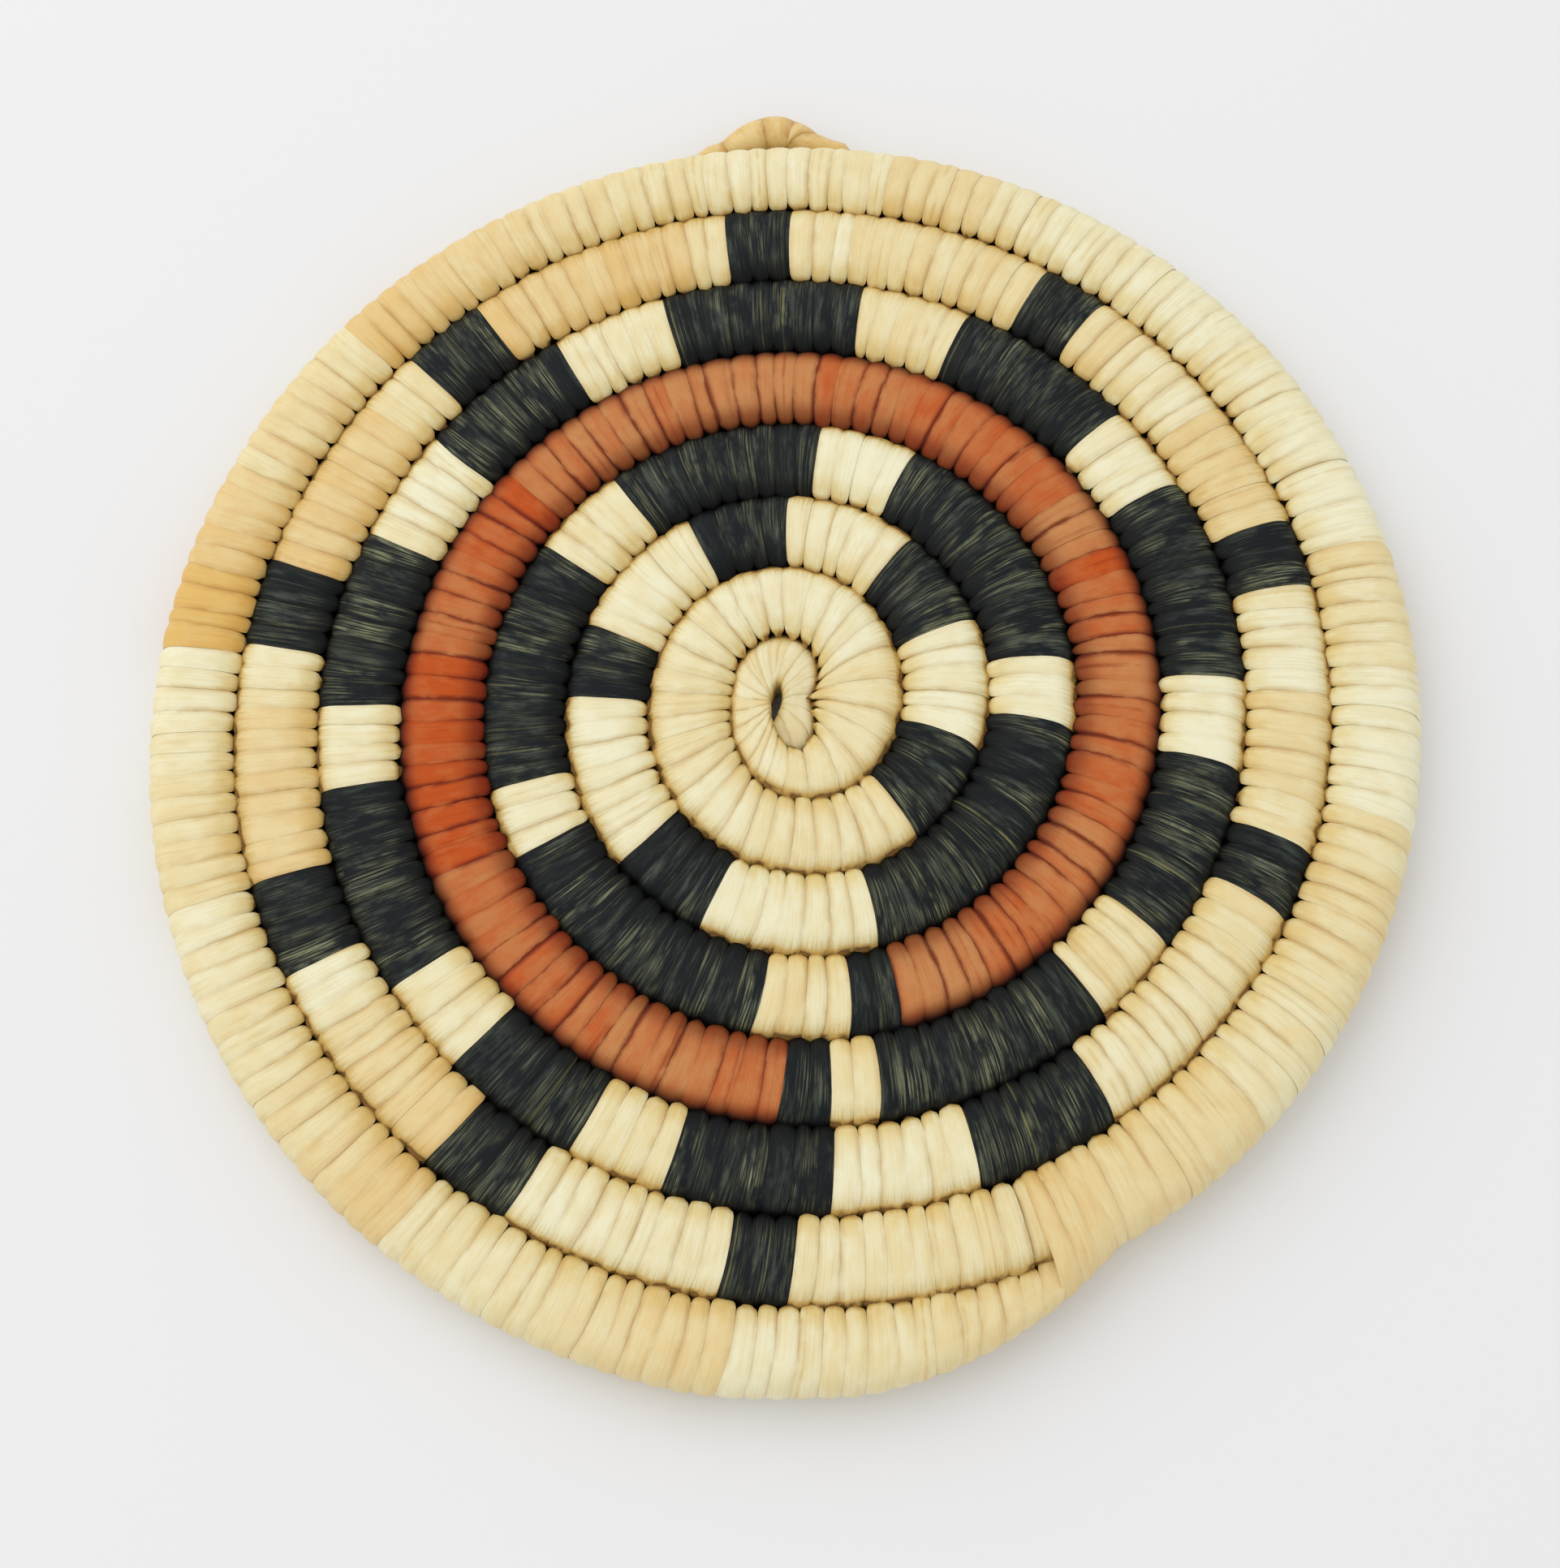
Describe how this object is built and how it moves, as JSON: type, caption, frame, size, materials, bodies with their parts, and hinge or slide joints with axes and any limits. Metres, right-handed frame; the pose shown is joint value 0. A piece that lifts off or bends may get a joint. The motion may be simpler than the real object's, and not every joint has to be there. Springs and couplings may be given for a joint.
{
  "type": "coiled plaque",
  "caption": "Flat round coiled basketry plaque: a grass bundle in a spiral, wrapped in natural, black and red splints as stepped rings, with a small wrapped hanging loop on the rim.",
  "frame": {"origin": "middle of the underside's bounding rectangle, on the plane that it rests on", "axes": "+Z out of the front face, +Y towards the hanging loop, +X to the right as seen from the front"},
  "size_m": [0.1756, 0.186, 0.01],
  "materials": {
    "natural": "satin",
    "black": "satin",
    "red": "satin",
    "grass": "matte",
    "loop": "satin"
  },
  "bodies": {
    "root": {"foundation_bundle": "grass", "loop_bundle": "grass", "loop_wrap": "loop", "wrap_01_natural": "natural", "wrap_02_black": "black", "wrap_03_natural": "natural", "wrap_04_black": "black", "wrap_05_natural": "natural", "wrap_06_black": "black", "wrap_07_natural": "natural", "wrap_08_black": "black", "wrap_09_natural": "natural", "wrap_10_black": "black", "wrap_11_natural": "natural", "wrap_12_black": "black", "wrap_13_natural": "natural", "wrap_14_black": "black", "wrap_15_natural": "natural", "wrap_16_black": "black", "wrap_17_natural": "natural", "wrap_18_black": "black", "wrap_19_natural": "natural", "wrap_20_black": "black", "wrap_21_natural": "natural", "wrap_22_black": "black", "wrap_23_red": "red", "wrap_24_black": "black", "wrap_25_natural": "natural", "wrap_26_black": "black", "wrap_27_natural": "natural", "wrap_28_black": "black", "wrap_29_natural": "natural", "wrap_30_black": "black", "wrap_31_natural": "natural", "wrap_32_black": "black", "wrap_33_natural": "natural", "wrap_34_black": "black", "wrap_35_natural": "natural", "wrap_36_black": "black", "wrap_37_natural": "natural", "wrap_38_black": "black", "wrap_39_natural": "natural", "wrap_40_black": "black", "wrap_41_natural": "natural", "wrap_42_black": "black", "wrap_43_natural": "natural", "wrap_44_black": "black", "wrap_45_natural": "natural", "wrap_46_black": "black", "wrap_48_black": "black", "wrap_50_black": "black", "wrap_52_black": "black", "wrap_54_black": "black", "wrap_56_black": "black", "wrap_58_black": "black", "wrap_60_black": "black", "wrap_62_black": "black", "wrap_64_black": "black", "wrap_border_natural": "natural"}
  },
  "joints": []
}
